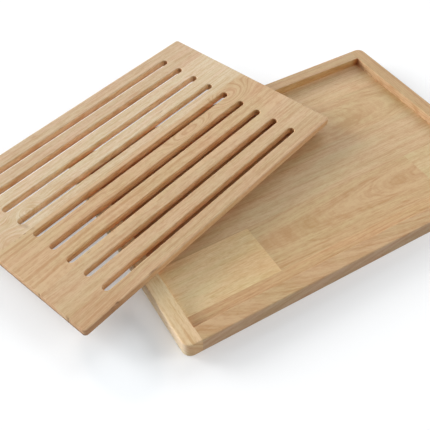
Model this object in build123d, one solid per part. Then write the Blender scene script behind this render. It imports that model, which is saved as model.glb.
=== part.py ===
from build123d import *
import os

os.makedirs("parts", exist_ok=True)

# Bread board of pale glued hardwood: a slotted cutting grid, laid askew across its crumb tray.
# Millimetres and degrees. X runs along the tray, Y across it from front to back, Z up.
# The origin is the middle of the tray's underside, which rests on the table.

# Crumb tray: four rails round a floor of glued staves
tray_length = 476.0
tray_width = 316.0
tray_height = 21.0
tray_corner_radius = 10.0
tray_arris_radius = 1.5
recess_arris_radius = 0.6
end_rail_width = 19.5
long_rail_width = 18.5
floor_thickness = 10.5

# Joints of the tray: the floor's tongue and the long rails' stub tenons share one groove
groove_depth = 6.0
tongue_thickness = 4.0
groove_play = 0.2
tenon_setback = 6.0

# Finger joint in the length of a floor stave: waves across the thickness between two shoulders
finger_length = 8.0
finger_tip = 0.5
finger_shoulder = 1.5
finger_waves = 2

# Glue lines of the floor from front to back, as shares of its width from the middle,
# and finger joints of the long-jointed stave, as shares of its length from the middle
floor_glue_shares = (-0.43, -0.173, 0.072, 0.323)
finger_joint_shares = (-0.217, 0.336)
finger_jointed_stave = 2

# Cutting grid: a slab of glued staves with long round-ended slots
grid_thickness = 10.0
grid_clearance = 1.5
grid_corner_radius = 4.0
grid_arris_radius = 1.2
slot_count = 9
slot_width = 9.5
slot_arris_width = 1.0

# Wood left round the slots: from the grid's ends to the slots' ends, and from its long edges
# to the middle of the outer slots
slot_end_margin = 48.5
slot_side_margin = 24.0

# Glue lines of the grid from front to back, as shares of the slot pitch from the middle
grid_glue_shares = (-4.0, -2.4, 0.39, 3.0)

# Where the grid lies: flat on the left and back rails, turned about the upright
grid_turn = 18.5
grid_in_from_left = 81.0
grid_in_from_back = 52.0

# Cutters run past what they cut by this much
overrun = 5.0

# Cutting blocks reach over this height, past every piece of the tray and the loose grid
cut_height = (-overrun, tray_height + overrun)

recess_length = tray_length - 2 * end_rail_width
recess_width = tray_width - 2 * long_rail_width
grid_length = recess_length - 2 * grid_clearance
grid_width = recess_width - 2 * grid_clearance
slot_length = grid_length - 2 * slot_end_margin
slot_pitch = (grid_width - 2 * slot_side_margin) / (slot_count - 1)


def block(x_range, y_range, z_range):
    """A box between two places along each axis."""
    (x0, x1), (y0, y1), (z0, z1) = x_range, y_range, z_range
    middle = Pos((x0 + x1) / 2, (y0 + y1) / 2, (z0 + z1) / 2)
    return middle * Box(x1 - x0, y1 - y0, z1 - z0)


def both_ways(size):
    """The range that a centred size covers."""
    return -size / 2, size / 2


def edges_at(body, height):
    """The edges that lie level at one height."""
    return body.edges().filter_by_position(Axis.Z, height, height)


def staves(body, width, glue_lines):
    """Cuts a slab into its staves along its glue lines, front to back."""
    length = width + tray_length
    bounds = [-width / 2 - overrun, *glue_lines, width / 2 + overrun]
    strips = [block(both_ways(length), pair, cut_height) for pair in zip(bounds, bounds[1:])]
    return [body & strip for strip in strips]


# The ring of rails, glued up, rounded at its corners and eased along its arrises, least at the recess
def rail_ring():
    outline = RectangleRounded(tray_length, tray_width, tray_corner_radius)
    ring = extrude(outline - Rectangle(recess_length, recess_width), tray_height)
    rim = [edge for edge in edges_at(ring, tray_height) if on_recess(edge)]
    ring = fillet(rim, recess_arris_radius)
    outer = [edge for edge in edges_at(ring, 0) + edges_at(ring, tray_height) if not on_recess(edge)]
    return fillet(outer, tray_arris_radius)


def on_recess(edge):
    """True for an edge that runs along the recess, inside the tray's outline."""
    middle = edge.center()
    inside_length = abs(middle.X) <= recess_length / 2 + end_rail_width / 2
    inside_width = abs(middle.Y) <= recess_width / 2 + long_rail_width / 2
    return inside_length and inside_width


tongue_low = (floor_thickness - tongue_thickness) / 2
tongue_range = (tongue_low, tongue_low + tongue_thickness)
groove_reach = groove_depth + groove_play


def end_rail(ring, side):
    """A short rail over the tray's whole width, with a groove that stops short of its ends."""
    inner = recess_length / 2
    outer = tray_length / 2 + overrun
    rail = ring & block((inner, outer), both_ways(tray_width + overrun), cut_height)
    stopped = both_ways(tray_width - 2 * tenon_setback)
    rail -= block((inner, inner + groove_reach), stopped, tongue_range)
    return rail if side > 0 else Rot(0, 0, 180) * rail


def long_rail(ring, side):
    """A long rail between the end rails, with a stub tenon at each end and a groove for the floor."""
    inner = recess_width / 2
    outer = tray_width / 2 + overrun
    rail = ring & block(both_ways(recess_length), (inner, outer), cut_height)
    tenon_y = (inner + groove_reach, tray_width / 2 - tenon_setback)
    rail += block(both_ways(recess_length + 2 * groove_depth), tenon_y, tongue_range)
    rail -= block(both_ways(tray_length), (inner, inner + groove_reach), tongue_range)
    return rail if side > 0 else Rot(0, 0, 180) * rail


# The floor: a slab as wide as the recess, with a tongue all round
def floor_slab():
    slab = block(both_ways(recess_length), both_ways(recess_width), (0, floor_thickness))
    tongue_length = recess_length + 2 * groove_depth
    tongue_width = recess_width + 2 * groove_depth
    return slab + block(both_ways(tongue_length), both_ways(tongue_width), tongue_range)


def finger_profile():
    """The zigzag of a finger joint from the underside to the face, as (along, up)."""
    wave = (floor_thickness - 2 * finger_shoulder) / finger_waves
    rise = wave / 2 - finger_tip
    reach = finger_length / 2
    up = finger_shoulder + rise / 2
    points = [(0, 0), (0, finger_shoulder)]
    for tooth in range(2 * finger_waves):
        along = reach if tooth % 2 == 0 else -reach
        points += [(along, up), (along, up + finger_tip)]
        up += finger_tip + rise
    return points + [(0, floor_thickness - finger_shoulder), (0, floor_thickness)]


def left_of_joint(place):
    """All of the floor to the left of a finger joint."""
    zigzag = [(place + along, up) for along, up in finger_profile()]
    outline = Polyline(*zigzag, (-tray_length, floor_thickness), (-tray_length, 0), close=True)
    return extrude(Plane.XZ * make_face(outline), tray_width, both=True)


def finger_pieces(stave):
    """Cuts one stave into the pieces that its finger joints join, left to right."""
    pieces = []
    rest = stave
    for share in finger_joint_shares:
        left = left_of_joint(share * recess_length)
        pieces.append(rest & left)
        rest -= left
    return pieces + [rest]


# The grid: slab, slots and eased arrises, before it is cut into its staves
def grid_slab():
    slab = extrude(RectangleRounded(grid_length, grid_width, grid_corner_radius), grid_thickness)
    arrises = edges_at(slab, 0) + edges_at(slab, grid_thickness)
    slab = fillet(arrises, grid_arris_radius)
    slot = extrude(SlotOverall(slot_length, slot_width), grid_thickness)
    slots = [place * slot for place in GridLocations(0, slot_pitch, 1, slot_count)]
    slab -= slots
    rims = [edge for edge in edges_at(slab, 0) + edges_at(slab, grid_thickness) if on_slot(edge)]
    return chamfer(rims, slot_arris_width)


def on_slot(edge):
    """True for an edge of a slot, away from the grid's outer edge."""
    middle = edge.center()
    inside_length = abs(middle.X) <= slot_length / 2
    inside_width = abs(middle.Y) <= (slot_count - 1) / 2 * slot_pitch + slot_width / 2
    return inside_length and inside_width


pieces = {}

ring = rail_ring()
pieces["end_rail_left"] = end_rail(ring, -1)
pieces["end_rail_right"] = end_rail(ring, 1)
pieces["long_rail_front"] = long_rail(ring, -1)
pieces["long_rail_back"] = long_rail(ring, 1)

floor_lines = [share * recess_width for share in floor_glue_shares]
for number, stave in enumerate(staves(floor_slab(), recess_width + 2 * groove_depth, floor_lines), 1):
    if number == finger_jointed_stave:
        for place, piece in zip(("left", "middle", "right"), finger_pieces(stave)):
            pieces[f"floor_stave_{number}_{place}"] = piece
    else:
        pieces[f"floor_stave_{number}"] = stave

grid_x = grid_in_from_left - tray_length / 2
grid_y = tray_width / 2 - grid_in_from_back
grid_place = Pos(grid_x, grid_y, tray_height) * Rot(0, 0, grid_turn)
grid_lines = [share * slot_pitch for share in grid_glue_shares]
for number, stave in enumerate(staves(grid_slab(), grid_width, grid_lines), 1):
    pieces[f"grid_stave_{number}"] = grid_place * stave

for name, piece in pieces.items():
    piece.label = name
    export_step(piece, f"parts/{name}.step")
    print(name, round(piece.volume), len(piece.solids()))
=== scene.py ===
import math
from dataclasses import dataclass

import bmesh
import bpy
from mathutils import Matrix, Vector, noise


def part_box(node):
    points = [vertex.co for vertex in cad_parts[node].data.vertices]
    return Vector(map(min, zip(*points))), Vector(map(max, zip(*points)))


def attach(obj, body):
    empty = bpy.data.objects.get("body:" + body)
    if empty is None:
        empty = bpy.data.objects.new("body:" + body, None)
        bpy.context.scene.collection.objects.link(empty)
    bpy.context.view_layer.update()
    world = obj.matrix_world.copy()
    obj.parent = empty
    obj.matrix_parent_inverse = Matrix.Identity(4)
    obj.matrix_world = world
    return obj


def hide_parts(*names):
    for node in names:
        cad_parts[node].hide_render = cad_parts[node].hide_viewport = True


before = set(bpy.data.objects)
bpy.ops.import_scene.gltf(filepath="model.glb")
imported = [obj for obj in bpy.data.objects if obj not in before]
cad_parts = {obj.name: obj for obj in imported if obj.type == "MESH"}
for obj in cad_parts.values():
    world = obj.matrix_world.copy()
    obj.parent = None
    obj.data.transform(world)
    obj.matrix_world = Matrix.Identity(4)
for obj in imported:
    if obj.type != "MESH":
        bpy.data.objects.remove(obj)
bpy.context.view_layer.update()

# Bread board of pale glued hardwood: a slotted cutting grid laid askew across its crumb tray.
# The frame is in metres. Sizes here are in millimetres, and turn into metres where a mesh is made.
MM = 0.001
tiny = MM * MM   # in metres, far below any size here

# Crumb tray
tray_low, tray_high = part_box("end_rail_left")[0] / MM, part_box("end_rail_right")[1] / MM
tray_length = tray_high.x - tray_low.x
tray_width = tray_high.y - tray_low.y
tray_height = tray_high.z
end_rail_width = (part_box("end_rail_left")[1].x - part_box("end_rail_left")[0].x) / MM
long_rail_width = (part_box("long_rail_front")[1].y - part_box("long_rail_front")[0].y) / MM
recess_half = (tray_length / 2 - end_rail_width, tray_width / 2 - long_rail_width)
floor_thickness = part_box("floor_stave_3")[1].z / MM

# Cutting grid, in its own axes: u along the slots, v across them towards the back, w up
grid_length = 434.0
grid_width = 276.0
grid_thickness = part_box("grid_stave_3")[1].z / MM - tray_height
grid_corner = 4.0
grid_arris = 1.2
slot_count = 9
slot_pitch = 28.5
slot_length = 337.0
slot_width = 9.5
slot_arris = 1.0
grid_turn = math.radians(18.5)
grid_x = 81.0 - tray_length / 2
grid_y = tray_width / 2 - 52.0
glue_line_shares = (-4.0, -2.4, 0.39, 3.0)   # of the slot pitch, from the middle


# Node trees

class Field:
    """One socket of a node tree, with plain arithmetic on it."""

    def __init__(self, tree, socket):
        self.tree = tree
        self.socket = socket

    def math(self, operation, *others):
        return self.tree.math(operation, self, *others)

    def __add__(self, other):
        return self.tree.math("ADD", self, other)

    __radd__ = __add__

    def __sub__(self, other):
        return self.tree.math("SUBTRACT", self, other)

    def __rsub__(self, other):
        return self.tree.math("SUBTRACT", other, self)

    def __mul__(self, other):
        return self.tree.math("MULTIPLY", self, other)

    __rmul__ = __mul__

    def __truediv__(self, other):
        return self.tree.math("DIVIDE", self, other)

    def clip(self):
        return self.math("MAXIMUM", 0.0).math("MINIMUM", 1.0)

    def ramp(self, low, high):
        """0 below low, 1 above high, and a smooth step between."""
        return self.tree.add(
            "ShaderNodeMapRange", {"interpolation_type": "SMOOTHSTEP"},
            {"Value": self, "From Min": low, "From Max": high},
        )


class Tree:
    """A shader or geometry tree, whose nodes all come from add()."""

    def __init__(self, nodes):
        self.nodes = nodes
        self.nodes.nodes.clear()

    def add(self, kind, settings=None, sockets=None, output=0):
        node = self.nodes.nodes.new(kind)
        for name, value in (settings or {}).items():
            setattr(node, name, value)
        for name, value in (sockets or {}).items():
            if isinstance(value, list):
                for item in value:
                    self.nodes.links.new(item.socket, node.inputs[name])
            elif isinstance(value, Field):
                self.nodes.links.new(value.socket, node.inputs[name])
            else:
                node.inputs[name].default_value = value
        return Field(self, node.outputs[output]) if len(node.outputs) else node

    def math(self, operation, *values):
        return self.add("ShaderNodeMath", {"operation": operation}, dict(enumerate(values)))

    def vector(self, operation, *values):
        return self.add("ShaderNodeVectorMath", {"operation": operation}, dict(enumerate(values)))

    def split(self, vector):
        parts = self.add("ShaderNodeSeparateXYZ", sockets={0: vector})
        return [Field(self, socket) for socket in parts.socket.node.outputs]

    def join(self, x, y, z):
        return self.add("ShaderNodeCombineXYZ", sockets={0: x, 1: y, 2: z})

    def mix(self, factor, first, second, blend="MIX"):
        settings = {"data_type": "RGBA", "blend_type": blend}
        return self.add("ShaderNodeMix", settings, {0: factor, 6: first, 7: second}, output=2)


# Wood

def linear(colour):
    """An 8-bit screen colour as a linear one."""
    values = [channel / 255 for channel in colour]
    straight = [v / 12.92 if v <= 0.04045 else ((v + 0.055) / 1.055) ** 2.4 for v in values]
    return (*straight, 1.0)


plain = (1.0, 1.0, 1.0, 1.0)


@dataclass
class Board:
    """How one board was cut from its tree, in mm along (u), across (v) and up (w) from a centre."""

    centre: tuple          # of the tray or the grid, in the row frame
    turn: float            # of the grain about the upright, in radians
    colour: tuple          # its mean colour
    heart: tuple           # across and up from the centre to the tree's heart
    lean: tuple = (0.0, 0.0)     # drift of the heart across and up, per mm along
    ring: float = 5.0      # width of a year's ring
    rings: float = 0.4     # strength of the rings
    streaks: float = 0.45  # strength of the streaks between them
    knots: tuple = ()      # (u, v, half length, half width, rise) of swirls round a knot
    stains: tuple = ()     # (u, v, half length, half width, strength) of soft patches, pale ones below 0
    marks: tuple = ()      # (u, v, half length, half width, strength) of dark specks and short lines
    field: tuple = ()      # (half length, half width) of the field of slots or the recess
    walls: tuple = plain   # what upright walls inside the field keep of the colour: painted light, on the grid with cutter browning
    sides: tuple = plain   # what upright walls outside it keep: painted light and shade
    seed: float = 0.0


# Colours of the wood, as the eye sees them
pore_brown = (150, 104, 66)
speck_brown = (112, 72, 38)

# What a board keeps of its colour where it grew or was worked differently, and where light and shade are
# painted on it
ring_tint = (0.80, 0.66, 0.52, 1.0)          # the dark wood of its rings
pink = (1.02, 0.98, 0.98, 1.0)
straw = (0.98, 1.01, 0.97, 1.0)
end_grain = (0.60, 0.48, 0.36, 1.0)          # cut across the grain, at the slots and the recess
end_sanded = (0.90, 0.86, 0.84, 1.0)         # and on the outside
end_painted_shade = (0.42, 0.36, 0.34, 1.0)           # the lower half of the grid's ends: painted shade
grid_side_painted_shade = (0.55, 0.47, 0.40, 1.0)          # painted shade on the grid's long sides towards its left end
slot_foot_painted_light = (1.18, 1.12, 1.15, 1.0)          # painted light on the slots' walls towards the underside
cutter_brown_and_painted_light = (1.10, 1.00, 0.86, 1.0)     # the slots' walls: cutter browning, and painted warm light
cutter_scorched = (0.86, 0.76, 0.64, 1.0)    # where the cutter burnt a wall
back_wall_painted_light = (1.26, 1.28, 1.10, 1.0)       # painted light on the recess's back wall
recess_walls_painted_light = (0.98, 1.03, 1.28, 1.0)         # painted light on its other walls
grid_front_painted_light = (1.17, 1.10, 1.03, 1.0)        # painted light on the grid's front side
rail_sides_painted_light_and_shade = (0.94, 0.98, 1.18, 1.0)        # painted light and shade on the long rails' outsides
left_side_painted_light = (1.12, 1.26, 1.54, 1.0)   # painted light on the left end rail's outside
right_side_painted_shade = (0.78, 0.80, 0.90, 1.0)     # painted shade on the right end rail's
in_shade = (1.12, 1.05, 0.98, 1.0)           # wood warms the light that it passes on
in_hollows = (1.38, 0.70, 0.38, 1.0)         # and warms it more the deeper the hollow
corner_painted_shade = (0.80, 0.50, 0.32, 1.0)     # painted shade in the recess's corners

# How strongly each layer of the figure shows
usual_figure = 0.38      # the share of dark wood in a board's mean colour
line_strength = 0.55
cloud_strength = 0.8
fleck_strength = 1.6
fibre_strength = 1.1
pore_strength = 0.5
wander = 3.0             # how far the grain wanders to the side, in mm

# Places on the grid, in mm from its middle, between which painted light and shade set in
end_foot = (-2.6, -0.6)        # heights on its ends
wall_foot = (-2.0, 3.5)        # heights on the slots' walls
left_end = (-215.0, -80.0)     # along its long sides

# How steep a wall is, and how squarely the grain is cut, between which their tints set in: end grain, cutter
# marks, and painted light and shade
wall_steepness = (0.3, 0.8)
end_squareness = (0.4, 0.9)

# Painted warm light and shade in hollows: how far they reach, in mm, and how open shade and deep hollows are
hollow_reach = 30.0
shade_openness = (0.30, 0.90)
hollow_openness = (0.0, 0.25)
corner_reach = 14.0
recess_margin = 0.5            # how far behind its faces the recess still counts

# Surface
sanded_roughness = 0.52
fibre_roughness = 0.12         # what raised fibres and end grain each add
pore_depth = 0.08              # in mm
fibre_height = 0.4             # of a raised fibre, over a pore's depth


def patch(tree, u, v, spot):
    """1 at the middle of an oval patch, falling smoothly to 0 at its rim."""
    u0, v0, half_length, half_width = spot[:4]
    du = (u - u0) / half_length
    dv = (v - v0) / half_width
    return 1.0 - (du * du + dv * dv).math("SQRT").ramp(0.0, 1.0)


class Wood(Tree):
    """Pale pored hardwood, as a solid figure: rings about a heart, streaks, pores and end grain."""

    def __init__(self, name, board):
        self.material = bpy.data.materials.new(name + "_wood")
        self.material.use_nodes = True
        super().__init__(self.material.node_tree)
        self.board = board
        self.of_grid = name.startswith("grid")
        self.in_row = self.add("ShaderNodeTexCoord", output="Object")
        self.normal = self.add("ShaderNodeTexCoord", output="Normal")
        self.place = self.add(
            "ShaderNodeMapping", {"vector_type": "TEXTURE"},
            {"Vector": self.in_row, "Location": tuple(c * MM for c in board.centre),
             "Rotation": (0.0, 0.0, board.turn), "Scale": (MM, MM, MM)},
        )

    def grain(self, length, width, seed, detail=2.0, roughness=0.5, output="Fac", at=None):
        """Noise whose features are so long along the grain and so wide across it."""
        scale = (1 / length, 1 / width, 1 / width)
        shift = (self.board.seed + seed, 2 * self.board.seed - seed, 3 * seed)
        vector = self.vector("MULTIPLY_ADD", at or self.place, scale, shift)
        sockets = {"Vector": vector, "Scale": 1.0, "Detail": detail, "Roughness": roughness}
        return self.add("ShaderNodeTexNoise", {}, sockets, output=output)

    def tint(self, colour, share, keep):
        """The colour, of which a tint is kept where the share is 1."""
        return self.mix(share, colour, keep, blend="MULTIPLY")

    def wandered(self):
        """The place along, across and up, shifted as the grain wanders to the side."""
        wandering = self.grain(150.0, 60.0, 1.7, detail=1.0, output="Color")
        centred = self.vector("SUBTRACT", wandering, (0.5, 0.5, 0.5))
        drift = self.vector("MULTIPLY", centred, (0.0, 2 * wander, 2 * wander))
        return self.split(self.vector("ADD", self.place, drift))

    def from_heart(self, u, v, w):
        """Distance from the tree's heart, pushed aside by knots."""
        across = v - self.board.heart[0] - u * self.board.lean[0]
        up = w - self.board.heart[1] - u * self.board.lean[1]
        reach = (across * across + up * up).math("SQRT")
        for knot in self.board.knots:
            reach = reach + patch(self, u, v, knot) * knot[4]
        return reach

    def figured(self, u, v, reach, fibres):
        """The board's colour, mixed from pale and dark wood. Streaks, lines and hue follow the rings."""
        board = self.board
        rings = self.add(
            "ShaderNodeTexNoise", {"noise_dimensions": "1D"},
            {"W": reach / board.ring + board.seed, "Scale": 1.0, "Detail": 2.5, "Roughness": 0.6},
        ).ramp(0.34, 0.68)
        layers = self.join(u, reach, 0.0)
        streaks = self.grain(90.0, 1.6, 5.3, detail=3.0, roughness=0.6, at=layers).ramp(0.3, 0.7)
        edge = (self.grain(190.0, 8.0, 2.9, at=layers) - 0.5).math("ABSOLUTE")
        lines = (1.0 - edge.ramp(0.0, 0.022)) * self.grain(60.0, 25.0, 8.3, detail=1.0).ramp(0.42, 0.62)
        clouds = self.grain(34.0, 15.0, 4.4, detail=3.0)
        flecks = self.grain(9.0, 1.3, 6.1, roughness=0.7, at=layers)
        hue = self.grain(70.0, 11.0, 3.9, at=layers).ramp(0.32, 0.68)

        figure = usual_figure + (rings - 0.5) * board.rings + (streaks - 0.5) * board.streaks
        figure = figure + lines * line_strength + (clouds - 0.5) * cloud_strength
        figure = figure + (flecks - 0.5) * fleck_strength + (fibres - 0.5) * fibre_strength
        for stain in board.stains:
            figure = figure + patch(self, u, v, stain) * stain[4]
        mean = linear(board.colour)
        pale = tuple(m / (1.0 - usual_figure * (1.0 - keep)) for m, keep in zip(mean, ring_tint))
        dark = tuple(p * keep for p, keep in zip(pale, ring_tint))
        colour = self.mix(figure.clip(), pale, dark)
        return self.tint(colour, 1.0, self.mix(hue, pink, straw))

    def pored(self, colour, u, v, pores):
        """Open pores, dots where they are cut across, and the board's specks and short lines, in the grid's
        chips also painted shade.
        """
        colour = self.mix(pores * pore_strength, colour, linear(pore_brown))
        for mark in self.board.marks:
            colour = self.mix((patch(self, u, v, mark) * mark[4]).clip(), colour, linear(speck_brown))
        return colour

    def cut_across(self):
        """1 where the surface is cut across the grain. End grain drinks in light."""
        along = (math.cos(self.board.turn), math.sin(self.board.turn), 0.0)
        facing = self.add(
            "ShaderNodeVectorMath", {"operation": "DOT_PRODUCT"}, {0: self.normal, 1: along}, output="Value")
        return facing.math("ABSOLUTE").ramp(*end_squareness)

    def walled(self, colour, across):
        """Upright walls and end grain, with cutter browning and scorching, and painted light and shade."""
        board = self.board
        u, v, w = self.split(self.place)
        upright = 1.0 - self.split(self.normal)[2].math("ABSOLUTE").ramp(*wall_steepness)
        within = u.math("ABSOLUTE").math("LESS_THAN", board.field[0])
        within = within * v.math("ABSOLUTE").math("LESS_THAN", board.field[1])
        outside = 1.0 - within
        wall = upright * within
        side = upright * outside * (1.0 - across)
        colour = self.tint(colour, across * within, end_grain)
        colour = self.tint(colour, across * outside, end_sanded)
        if self.of_grid:
            # Painted light low on the slots' walls, and painted shade low on the grid's ends and on its long
            # sides towards the left end
            colour = self.tint(colour, wall * (1.0 - w.ramp(*wall_foot)), slot_foot_painted_light)
            colour = self.tint(colour, across * outside * (1.0 - w.ramp(*end_foot)), end_painted_shade)
            colour = self.tint(colour, side * (1.0 - u.ramp(*left_end)), grid_side_painted_shade)
        # Painted light on the walls, on the slots' walls with cutter browning; painted light on most boards'
        # sides, and painted shade on the right end rail's
        colour = self.tint(colour, wall, board.walls)
        scorched = self.grain(22.0, 6.0, 14.8).ramp(0.45, 0.68)
        colour = self.tint(colour, wall * scorched, cutter_scorched)
        return self.tint(colour, side, board.sides)

    def hollowed(self, colour):
        """Painted warm light and shade in hollows, the deeper the stronger, and painted shade in the
        recess's corners.
        """
        openness = self.add(
            "ShaderNodeAmbientOcclusion", {"samples": 8}, {"Distance": hollow_reach * MM}, output="AO")
        hollow = 1.0 - openness.ramp(*hollow_openness)
        if self.of_grid:
            return self.tint(colour, hollow, in_hollows)
        x, y, z = self.split(self.vector("MULTIPLY", self.in_row, (1 / MM, 1 / MM, 1 / MM)))
        from_end = recess_half[0] - x.math("ABSOLUTE")
        from_side = recess_half[1] - y.math("ABSOLUTE")
        inside = from_end.math("MINIMUM", from_side).math("GREATER_THAN", -recess_margin)
        inside = inside * (z - floor_thickness).math("GREATER_THAN", -recess_margin)
        shade = 1.0 - openness.ramp(*shade_openness)
        colour = self.tint(colour, shade * inside, in_shade)
        colour = self.tint(colour, hollow * inside, in_hollows)
        # Painted shade in the recess's corners, unevenly wide
        uneven = 0.7 + self.grain(30.0, 8.0, 12.5) * 0.6
        from_corner = from_end.math("MAXIMUM", 0.0) + from_side.math("MAXIMUM", 0.0)
        in_corner = 1.0 - (from_corner * uneven / corner_reach).ramp(0.0, 1.0)
        return self.tint(colour, in_corner * inside, corner_painted_shade)


def wood(name, board):
    """The finished wood of one board."""
    tree = Wood(name, board)
    u, v, w = tree.wandered()
    fibres = tree.grain(14.0, 0.4, 9.1, detail=1.0)
    pores = tree.grain(5.0, 0.24, 7.7, detail=0.0).ramp(0.66, 0.8)
    across = tree.cut_across()
    colour = tree.figured(u, v, tree.from_heart(u, v, w), fibres)
    colour = tree.pored(colour, u, v, pores)
    if board.field:
        colour = tree.walled(colour, across)
    colour = tree.hollowed(colour)

    relief = {"Height": fibres * fibre_height - pores, "Strength": 0.5, "Distance": pore_depth * MM}
    bump = tree.add("ShaderNodeBump", {}, relief)
    roughness = sanded_roughness + (fibres + across) * fibre_roughness
    surface = tree.add(
        "ShaderNodeBsdfPrincipled", {},
        {"Base Color": colour, "Roughness": roughness, "Normal": bump, "Specular IOR Level": 0.5},
    )
    tree.add("ShaderNodeOutputMaterial", {}, {"Surface": surface})
    return tree.material


# Inside these fields a board's walls are those of the slots, or of the recess
inner_share = 0.9    # of a rail's width that counts with the recess
inner_end, inner_side = end_rail_width * inner_share, long_rail_width * inner_share
slots_field = (slot_length / 2 + slot_width, (slot_count - 1) / 2 * slot_pitch + slot_width)
recess_field = (tray_length / 2 - inner_end, tray_width / 2 - inner_side)


def grid_board(colour, heart, **cut):
    centre = (grid_x, grid_y, tray_height + grid_thickness / 2)
    return Board(centre, grid_turn, colour, heart, field=slots_field, walls=cutter_brown_and_painted_light, **cut)


def floor_board(colour, heart, **cut):
    return Board((0.0, 0.0, floor_thickness / 2), 0.0, colour, heart, **cut)


def long_rail(colour, heart, **cut):
    return Board((0.0, 0.0, tray_height / 2), 0.0, colour, heart, field=recess_field, **cut)


def end_rail(colour, heart, **cut):
    """An end rail, whose grain runs across the tray."""
    middle = (0.0, 0.0, tray_height / 2)
    return Board(middle, math.pi / 2, colour, heart, field=recess_field[::-1], walls=recess_walls_painted_light, **cut)


boards = {
    "grid_stave_1": grid_board(
        (182, 151, 114), (-175.0, 20.0), lean=(0.02, 0.0), ring=4.0, seed=1.0, sides=grid_front_painted_light,
        stains=((90.0, -130.0, 80.0, 4.0, 0.3), (-200.0, -125.0, 75.0, 50.0, 0.25)),
        # These marks darken the nick and the crack: dirt in them, and painted shade inside them
        marks=((-171.0, -137.0, 4.0, 1.6, 0.7), (-118.0, -137.2, 8.0, 1.0, 0.7),
               (-178.0, -137.6, 6.0, 0.9, 0.5))),
    "grid_stave_2": grid_board(
        (186, 156, 119), (-20.0, -60.0), lean=(0.0, 0.02), seed=2.0,
        marks=((-18.0, -66.0, 3.0, 1.2, 0.8),)),
    "grid_stave_3": grid_board(
        (187, 155, 116), (-75.0, -60.0), ring=4.5, rings=0.8, seed=3.0,
        knots=((166.0, -8.0, 52.0, 27.0, 30.0), (80.0, -14.0, 60.0, 17.0, 22.0)),
        stains=((180.0, 4.0, 12.0, 8.0, 0.3), (204.0, 4.0, 9.0, 8.0, 0.3),
                (200.0, -30.0, 24.0, 7.0, 0.25), (-200.0, -30.0, 50.0, 90.0, 0.05)),
        marks=((-145.0, -64.5, 6.0, 0.8, 0.6), (85.0, -42.0, 6.0, 2.0, 0.25),
               (-163.0, 9.5, 5.0, 5.0, 0.3), (-174.0, 9.8, 3.0, 0.9, 0.9),
               (-181.0, 9.6, 3.0, 0.7, 0.6), (-188.0, 9.4, 2.5, 0.7, 0.5))),
    "grid_stave_4": grid_board(
        (199, 176, 145), (170.0, -30.0), rings=0.35, seed=4.0,
        knots=((-150.0, 40.0, 30.0, 20.0, 20.0), (-190.0, 20.0, 30.0, 22.0, 12.0)),
        stains=((-140.0, 41.0, 12.0, 9.0, 0.45), (0.0, 15.0, 260.0, 10.0, 0.3),
                (-197.0, 15.0, 5.0, 9.0, 0.5), (-177.0, 41.0, 10.0, 4.0, 0.5),
                (-160.0, 38.0, 9.0, 9.0, -0.3), (-205.0, 40.0, 55.0, 90.0, 0.35)),
        marks=((81.0, 41.0, 6.5, 0.8, 0.8), (-168.0, 25.0, 5.0, 5.5, 0.3),
               (-166.0, 19.0, 4.5, 7.0, 0.35))),
    "grid_stave_5": grid_board((190, 162, 130), (220.0, 35.0), rings=0.35, seed=5.0),
    "floor_stave_1": floor_board((187, 153, 110), (-170.0, -20.0), ring=4.0, rings=0.45, seed=6.0),
    "floor_stave_2_left": floor_board(
        (205, 178, 133), (-180.0, -60.0), ring=7.0, rings=0.2, streaks=0.25, seed=7.0,
        stains=((-95.0, -84.0, 70.0, 80.0, 0.4), (-205.0, -100.0, 70.0, 60.0, -0.25))),
    "floor_stave_2_middle": floor_board(
        (182, 151, 108), (-79.0, -26.0), lean=(0.0, 0.05), ring=4.5, rings=0.5, seed=8.0),
    "floor_stave_2_right": floor_board((187, 162, 119), (-20.0, -70.0), ring=7.0, rings=0.3, seed=9.0),
    "floor_stave_3": floor_board(
        (186, 157, 117), (60.0, -40.0), ring=6.0, seed=10.0,
        stains=((60.0, 16.0, 220.0, 5.0, 0.35), (157.0, -14.0, 7.0, 4.0, 0.35))),
    "floor_stave_4": floor_board(
        (184, 153, 110), (52.0, -32.0), lean=(0.0, -0.04), ring=6.0, rings=0.5, seed=11.0,
        stains=((125.0, 40.0, 40.0, 16.0, 0.7),)),
    "floor_stave_5": floor_board((194, 161, 120), (190.0, -30.0), ring=6.0, seed=12.0),
    "end_rail_left": end_rail(
        (199, 171, 131), (260.0, -40.0), ring=6.0, seed=13.0, sides=left_side_painted_light),
    "end_rail_right": end_rail(
        (172, 139, 96), (-290.0, -50.0), rings=0.5, seed=14.0, sides=right_side_painted_shade),
    "long_rail_front": long_rail(
        (177, 145, 105), (-120.0, -30.0), lean=(0.0, 0.2), ring=4.5, rings=0.5, seed=15.0,
        walls=recess_walls_painted_light, sides=rail_sides_painted_light_and_shade),
    "long_rail_back": long_rail(
        (171, 139, 100), (190.0, 40.0), rings=0.45, seed=16.0, walls=back_wall_painted_light, sides=rail_sides_painted_light_and_shade),
}


# Cutting grid: one slab with its slots, from a geometry tree, then cut along its glue lines

arris_steps = 4      # facets round a quarter of an arris
corner_steps = 7     # facets round a quarter of a corner
last_level = 2.0 * arris_steps + 1.0
round_end = 0.499    # radius of a slot's corners over its width, short of the half at which they would meet
slot_hold = 0.6      # how far from a slot's middle line its points lie at most, over its width
arris_waves = 45.0   # how closely the bumps of an uneven arris follow each other


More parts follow.
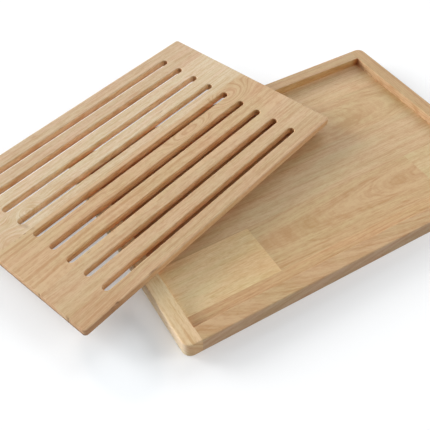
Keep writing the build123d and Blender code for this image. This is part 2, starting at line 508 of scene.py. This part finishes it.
def outline(tree, size, length, width, radius):
    """A rounded rectangle whose sides are divided finely enough for a wavy arris."""
    sides = {"Width": length, "Height": width}
    sharp = tree.add("GeometryNodeCurvePrimitiveQuadrilateral", {"mode": "RECTANGLE"}, sides)
    sockets = {"Curve": sharp, "Radius": radius, "Count": corner_steps}
    rounded = tree.add("GeometryNodeFilletCurve", {"mode": "POLY"}, sockets)
    points = 4.0 * (corner_steps + 1)
    after = (tree.add("GeometryNodeInputIndex") + 1.0).math("MODULO", points)
    here = tree.add("GeometryNodeInputPosition")
    settings = {"domain": "POINT", "data_type": "FLOAT_VECTOR"}
    there = tree.add("GeometryNodeFieldAtIndex", settings, {"Index": after, "Value": here})
    gap = tree.add("ShaderNodeVectorMath", {"operation": "DISTANCE"}, {0: here, 1: there}, output="Value")
    cuts = (gap / size["Spacing"]).math("FLOOR")
    return tree.add("GeometryNodeSubdivideCurve", {}, {"Curve": rounded, "Cuts": cuts})


def wall_on(tree, curve):
    """A wall on each outline, whose heights are so far only the numbers of its levels."""
    ends = {"Start": (0.0, 0.0, 0.0), "End": (0.0, -last_level, 0.0)}
    upright = tree.add("GeometryNodeCurvePrimitiveLine", {"mode": "POINTS"}, ends)
    count = {"Curve": upright, "Count": 2 * arris_steps + 2}
    levels = tree.add("GeometryNodeResampleCurve", {"mode": "COUNT"}, count)
    level_curve = tree.add("GeometryNodeSetCurveNormal", {"mode": "Z_UP"}, {"Curve": curve})
    return tree.add("GeometryNodeCurveToMesh", {}, {"Curve": level_curve, "Profile Curve": levels})


def away_from_core(tree, x, y, core_x, core_y):
    """The way from the nearest point of a rectangle about the middle, and its length."""
    dx = x - x.math("MINIMUM", core_x).math("MAXIMUM", core_x * -1.0)
    dy = y - y.math("MINIMUM", core_y).math("MAXIMUM", core_y * -1.0)
    return dx, dy, (dx * dx + dy * dy).math("SQRT").math("MAXIMUM", tiny)


def ease(tree, size, geometry):
    """Turns level numbers into heights, and draws every arris in on a slightly uneven quarter round."""
    x, y, level = tree.split(tree.add("GeometryNodeInputPosition"))
    top = level.math("GREATER_THAN", last_level / 2)
    angle = level.math("MINIMUM", last_level - level) * (math.pi / 2 / arris_steps)

    # Which slot a point belongs to, if any
    outer = (size["Slots"] - 1.0) * 0.5
    row = (y / size["Slot Pitch"] + outer).math("ROUND") - outer
    row = row.math("MINIMUM", outer).math("MAXIMUM", outer * -1.0)
    core = (size["Slot Length"] - size["Slot Width"]) * 0.5
    slot_x, slot_y, slot_reach = away_from_core(tree, x, y - row * size["Slot Pitch"], core, core * 0.0)
    on_slot = slot_reach.math("LESS_THAN", size["Slot Width"] * slot_hold)

    # The wood lies outwards from a slot, and inwards from the slab's own outline
    core_x = size["Length"] * 0.5 - size["Corner"]
    core_y = size["Width"] * 0.5 - size["Corner"]
    edge_x, edge_y, edge_reach = away_from_core(tree, x, y, core_x, core_y)
    off_slot = 1.0 - on_slot
    way_x = on_slot * slot_x / slot_reach - off_slot * edge_x / edge_reach
    way_y = on_slot * slot_y / slot_reach - off_slot * edge_y / edge_reach

    spot = tree.join(x, y, top * 0.5 + size["Seed"])
    uneven = tree.add("ShaderNodeTexNoise", {}, {"Vector": spot, "Scale": arris_waves, "Detail": 2.0})
    arris = on_slot * size["Slot Arris"] + off_slot * size["Arris"]
    arris = arris * (1.0 + (uneven - 0.5) * size["Unevenness"])
    inset = arris * (1.0 - angle.math("SINE"))
    rise = arris * (1.0 - angle.math("COSINE"))
    height = rise + top * (size["Thickness"] - rise * 2.0)
    place = tree.join(x + way_x * inset, y + way_y * inset, height)
    return tree.add("GeometryNodeSetPosition", {}, {"Geometry": geometry, "Position": place})


def face_between(tree, size, outlines, level):
    """A flat face between the eased outlines, at the first or the last level."""
    raised = tree.add("GeometryNodeSetPosition", {}, {"Geometry": outlines, "Offset": (0.0, 0.0, level)})
    flat = tree.add("GeometryNodeFillCurve", {"mode": "TRIANGLES"}, {"Curve": ease(tree, size, raised)})
    height = size["Thickness"] * (1.0 if level else 0.0)
    return tree.add("GeometryNodeSetPosition", {}, {"Geometry": flat, "Offset": tree.join(0.0, 0.0, height)})


def slotted_slab_tree():
    """A rounded slab with a row of round-ended slots, its arrises rounded over a little unevenly."""
    group = bpy.data.node_groups.new("slotted_slab", "GeometryNodeTree")
    tree = Tree(group)
    for name in slab_sizes:
        group.interface.new_socket(name, in_out="INPUT", socket_type="NodeSocketFloat")
    group.interface.new_socket("Slots", in_out="INPUT", socket_type="NodeSocketInt")
    group.interface.new_socket("Wood", in_out="INPUT", socket_type="NodeSocketMaterial")
    group.interface.new_socket("Slab", in_out="OUTPUT", socket_type="NodeSocketGeometry")
    entry = group.nodes.new("NodeGroupInput")
    size = {socket.name: Field(tree, socket) for socket in entry.outputs if socket.name}

    board = outline(tree, size, size["Length"], size["Width"], size["Corner"])
    slot = outline(tree, size, size["Slot Length"], size["Slot Width"], size["Slot Width"] * round_end)
    first = tree.join(0.0, (size["Slots"] - 1.0) * size["Slot Pitch"] * -0.5, 0.0)
    step = tree.join(0.0, size["Slot Pitch"], 0.0)
    sockets = {"Count": size["Slots"], "Start Location": first, "Offset": step}
    row = tree.add("GeometryNodeMeshLine", {"mode": "OFFSET"}, sockets)
    placed = tree.add("GeometryNodeInstanceOnPoints", {}, {"Points": row, "Instance": slot})
    slots = tree.add("GeometryNodeRealizeInstances", {}, {"Geometry": placed})
    outlines = tree.add("GeometryNodeJoinGeometry", {}, {"Geometry": [board, slots]})

    walls = ease(tree, size, wall_on(tree, outlines))
    by_face = {"domain": "FACE"}
    walls = tree.add("GeometryNodeSetShadeSmooth", by_face, {"Geometry": walls, "Shade Smooth": True})
    faces = [face_between(tree, size, outlines, level) for level in (0.0, last_level)]
    flat = tree.add("GeometryNodeJoinGeometry", {}, {"Geometry": faces})
    flat = tree.add("GeometryNodeSetShadeSmooth", by_face, {"Geometry": flat, "Shade Smooth": False})
    whole = tree.add("GeometryNodeJoinGeometry", {}, {"Geometry": [walls, flat]})
    closed = tree.add("GeometryNodeMergeByDistance", {}, {"Geometry": whole, "Distance": weld})
    real = tree.add("GeometryNodeRealizeInstances", {}, {"Geometry": closed})
    slab = tree.add("GeometryNodeSetMaterial", {}, {"Geometry": real, "Material": size["Wood"]})
    leave = group.nodes.new("NodeGroupOutput")
    group.links.new(slab.socket, leave.inputs[0])
    return group


weld = 0.03 * MM
slab_sizes = {
    "Length": grid_length * MM, "Width": grid_width * MM, "Thickness": grid_thickness * MM,
    "Corner": grid_corner * MM, "Arris": grid_arris * MM, "Slot Pitch": slot_pitch * MM,
    "Slot Length": slot_length * MM, "Slot Width": slot_width * MM, "Slot Arris": slot_arris * MM,
    "Unevenness": 0.7, "Spacing": 5.0 * MM, "Seed": 3.0,
}


def slab_mesh(material):
    """The slab as a plain mesh about its own middle, its underside at height 0."""
    group = slotted_slab_tree()
    start = bpy.data.objects.new("slab", bpy.data.meshes.new("slab"))
    bpy.context.scene.collection.objects.link(start)
    modifier = start.modifiers.new("slotted_slab", "NODES")
    modifier.node_group = group
    values = dict(slab_sizes, Slots=slot_count, Wood=material)
    for item in group.interface.items_tree:
        if item.in_out == "INPUT":
            modifier[item.identifier] = values[item.name]
    graph = bpy.context.evaluated_depsgraph_get()
    mesh = bpy.data.meshes.new_from_object(start.evaluated_get(graph))
    start.modifiers.remove(modifier)
    bpy.data.objects.remove(start)
    return mesh


grid_move = Matrix.Translation(Vector((grid_x, grid_y, tray_height)) * MM)
grid_place = grid_move @ Matrix.Rotation(grid_turn, 4, "Z")


def cut_off(cut, line, side):
    """Cuts away what lies past a glue line, and closes the cut."""
    everything = cut.verts[:] + cut.edges[:] + cut.faces[:]
    result = bmesh.ops.bisect_plane(
        cut, geom=everything, dist=tiny, plane_co=(0.0, line * MM, 0.0), plane_no=(0.0, side, 0.0),
        clear_outer=True,
    )
    rim = [item for item in result["geom_cut"] if isinstance(item, bmesh.types.BMEdge)]
    bmesh.ops.holes_fill(cut, edges=rim, sides=0)


# Damage along the front top arris: a nick and an open crack, as (u, v, depth below the top,
# half length, half width, half height)
chips = ((-171.0, -138.0, 0.0, 2.6, 1.7, 1.5), (-118.0, -137.6, 0.4, 7.0, 0.55, 0.9))
chip_unevenness = 0.35
chip_waves = 2.0     # how closely a chip's bumps follow each other


def chip_cutter(chip, seed):
    """An uneven pebble of the chip's size, standing where it bites into the board."""
    u, v, depth, *half_sizes = chip
    pebble = bmesh.new()
    bmesh.ops.create_icosphere(pebble, subdivisions=3, radius=1.0)
    for vert in pebble.verts:
        vert.co *= 1.0 + chip_unevenness * noise.noise(vert.co * chip_waves + Vector((seed, 0.0, 0.0)))
        vert.co = Vector(part * half for part, half in zip(vert.co, half_sizes))
    mesh = bpy.data.meshes.new("chip")
    pebble.to_mesh(mesh)
    pebble.free()
    mesh.transform(Matrix.Translation((u, v, grid_thickness - depth)))
    mesh.transform(grid_place @ Matrix.Scale(MM, 4))
    cutter = bpy.data.objects.new("chip", mesh)
    bpy.context.scene.collection.objects.link(cutter)
    return cutter


def chip_out(board):
    """Bites the chips out of a board, and leaves a plain mesh."""
    for number, chip in enumerate(chips):
        cutter = chip_cutter(chip, 4.0 * number)
        modifier = board.modifiers.new("chip", "BOOLEAN")
        modifier.operation, modifier.solver, modifier.object = "DIFFERENCE", "EXACT", cutter
        graph = bpy.context.evaluated_depsgraph_get()
        whole = board.data
        name = whole.name
        board.data = bpy.data.meshes.new_from_object(board.evaluated_get(graph))
        board.modifiers.remove(modifier)
        bpy.data.meshes.remove(whole)
        board.data.name = name
        bpy.data.objects.remove(cutter)


def grid_boards():
    """The slab's five glued staves, front to back, each a closed mesh in the row frame."""
    lines = [share * slot_pitch for share in glue_line_shares]
    names = [f"grid_stave_{number}" for number in range(1, len(lines) + 2)]
    materials = {name: wood(name, boards[name]) for name in names}
    slab = slab_mesh(materials["grid_stave_3"])
    for name, low, high in zip(names, [None, *lines], [*lines, None]):
        cut = bmesh.new()
        cut.from_mesh(slab)
        if low is not None:
            cut_off(cut, low, -1.0)
        if high is not None:
            cut_off(cut, high, 1.0)
        bmesh.ops.recalc_face_normals(cut, faces=cut.faces)
        mesh = bpy.data.meshes.new(name.replace("stave", "board"))
        cut.to_mesh(mesh)
        cut.free()
        mesh.transform(grid_place)
        mesh.materials.clear()
        mesh.materials.append(materials[name])
        board = bpy.data.objects.new(mesh.name, mesh)
        bpy.context.scene.collection.objects.link(board)
        if low is None:
            chip_out(board)
        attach(board, "grid")
        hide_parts(name)
    bpy.data.meshes.remove(slab)


def finish_tray():
    """The tray's pieces keep their shapes, and each gets the wood it was cut from."""
    for name, board in boards.items():
        if not name.startswith("grid"):
            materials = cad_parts[name].data.materials
            materials.clear()
            materials.append(wood(name, board))


grid_boards()
finish_tray()


# Table

table_reach = 6.0                              # in metres
bounced_white = (226, 224, 222)                # the table, for the light that it passes on
seen_white = (0.955, 0.967, 0.98, 1.0)         # the table, for the camera
painted_shadow_white = (0.88, 0.905, 0.925, 1.0)       # and dimmed there: a painted shadow in the deep shade between grid and tray
painted_shadow_spot = (-293.0, -118.0, 60.0, 95.0)     # the painted shadow's middle and half sizes, in mm
under_edge = (-128.0, -108.0)                  # where the table passes under the grid's front side

# How far the camera sees the table lifted towards white: more under the grid and to the right, painted light
# that pales the shadow there, and none in the painted shadow beside the tray
lift_left, lift_right, lift_under = 0.16, 0.5, 0.31
lift_range = (-250.0, 300.0)                   # from left to right, in mm


def white_table():
    """White that keeps the shadow, and that the camera sees a little lifted towards white, with painted
    light under the grid and to the right, and a painted shadow beside the tray.
    """
    material = bpy.data.materials.new("white_table")
    material.use_nodes = True
    tree = Tree(material.node_tree)
    camera_ray = tree.add("ShaderNodeLightPath", output="Is Camera Ray")
    place = tree.add(
        "ShaderNodeMapping", {"vector_type": "TEXTURE"},
        {"Vector": tree.add("ShaderNodeTexCoord", output="Object"), "Scale": (MM, MM, MM)},
    )
    x, y, _ = tree.split(place)
    from_grid = tree.add(
        "ShaderNodeMapping", {"vector_type": "TEXTURE"},
        {"Vector": place, "Location": (grid_x, grid_y, 0.0), "Rotation": (0.0, 0.0, grid_turn)},
    )
    under_grid = tree.split(from_grid)[1].ramp(*under_edge)
    # A painted shadow on the table beside the tray, in front of the grid
    painted_shadow_share = patch(tree, x, y, painted_shadow_spot).ramp(0.0, 0.5) * (1.0 - under_grid)
    seen = tree.mix(painted_shadow_share, seen_white, painted_shadow_white)
    colour = tree.mix(camera_ray, linear(bounced_white), seen)
    matt = tree.add("ShaderNodeBsdfDiffuse", {}, {"Color": colour})
    white = tree.add("ShaderNodeEmission", {}, {"Color": plain, "Strength": 1.0})
    # Painted light: more lift under the grid and to the right, none in the painted shadow
    at_left = lift_left + under_grid * (lift_under - lift_left) - painted_shadow_share * lift_left
    lift = camera_ray * (at_left + x.ramp(*lift_range) * (lift_right - at_left))
    surface = tree.add("ShaderNodeMixShader", {}, {0: lift, 1: matt, 2: white})
    tree.add("ShaderNodeOutputMaterial", {}, {"Surface": surface})
    return material


def table():
    mesh = bpy.data.meshes.new("table")
    signs = ((-1.0, -1.0), (1.0, -1.0), (1.0, 1.0), (-1.0, 1.0))
    mesh.from_pydata([(x * table_reach, y * table_reach, 0.0) for x, y in signs], [], [(0, 1, 2, 3)])
    mesh.materials.append(white_table())
    top = bpy.data.objects.new("table", mesh)
    bpy.context.scene.collection.objects.link(top)


# Light

sky_strength = 0.315
lamp_softness = 30.0     # the angle that a lamp fills, in degrees

# Azimuth from +Y towards -X, elevation above the table, and strength of each lamp
lamps = {
    "window": (37.0, 12.0, 4.4),
    "window_behind": (10.0, 12.0, 0.8),
    "window_left": (70.0, 12.0, 1.3),
    "side_right": (-45.0, 30.0, 0.8),
    "right_fill": (240.0, 22.0, 1.0),
    "front_fill": (197.0, 46.0, 0.55),
}


def sky():
    """Even light from all round, which the camera sees as white."""
    world = bpy.data.worlds.new("studio")
    world.use_nodes = True
    bpy.context.scene.world = world
    tree = Tree(world.node_tree)
    path = tree.add("ShaderNodeLightPath").socket.node
    rays = ("Is Camera Ray", "Is Glossy Ray", "Is Transmission Ray")
    seen = [Field(tree, path.outputs[ray]) for ray in rays]
    white = seen[0].math("MAXIMUM", seen[1]).math("MAXIMUM", seen[2])
    dim = tree.add("ShaderNodeBackground", {}, {"Color": plain, "Strength": sky_strength})
    bright = tree.add("ShaderNodeBackground", {}, {"Color": plain, "Strength": 1.0})
    mixed = tree.add("ShaderNodeMixShader", {}, {0: white, 1: dim, 2: bright})
    tree.add("ShaderNodeOutputWorld", {}, {"Surface": mixed})


def lamp(name, azimuth, elevation, strength):
    """A far soft lamp."""
    light = bpy.data.lights.new(name, "SUN")
    light.energy = strength
    light.angle = math.radians(lamp_softness)
    item = bpy.data.objects.new(name, light)
    bpy.context.scene.collection.objects.link(item)
    a, e = math.radians(azimuth), math.radians(elevation)
    towards = Vector((-math.sin(a) * math.cos(e), math.cos(a) * math.cos(e), math.sin(e)))
    item.rotation_euler = towards.to_track_quat("Z", "Y").to_euler()


sky()
for name, (azimuth, elevation, strength) in lamps.items():
    lamp(name, azimuth, elevation, strength)
table()


# Camera, fitted to the straight edges of tray and grid in the photograph

focal_share = 673.9 / 430      # focal length over the frame's width
camera_azimuth = math.radians(-30.39)
camera_elevation = math.radians(48.51)
camera_roll = math.radians(-0.46)
origin_right, origin_up, origin_away = 94.82, 44.63, 862.43   # the tray's middle, seen from the camera
sensor_width = 36.0


def photo_camera():
    away = Vector((-math.sin(camera_azimuth) * math.cos(camera_elevation),
                   math.cos(camera_azimuth) * math.cos(camera_elevation), -math.sin(camera_elevation)))
    level = Vector((math.cos(camera_azimuth), math.sin(camera_azimuth), 0.0))
    upright = level.cross(away)
    right = level * math.cos(camera_roll) + upright * math.sin(camera_roll)
    up = upright * math.cos(camera_roll) - level * math.sin(camera_roll)
    place = -(right * origin_right + up * origin_up + away * origin_away) * MM
    lens = bpy.data.cameras.new("photo_camera")
    lens.sensor_width = sensor_width
    lens.lens = focal_share * sensor_width
    lens.clip_start, lens.clip_end = 0.01, 100.0
    camera = bpy.data.objects.new("photo_camera", lens)
    bpy.context.scene.collection.objects.link(camera)
    turn = Matrix((right, up, -away)).transposed()
    camera.matrix_world = Matrix.Translation(place) @ turn.to_4x4()
    bpy.context.scene.camera = camera


photo_camera()
bpy.context.scene.view_settings.view_transform = "Standard"
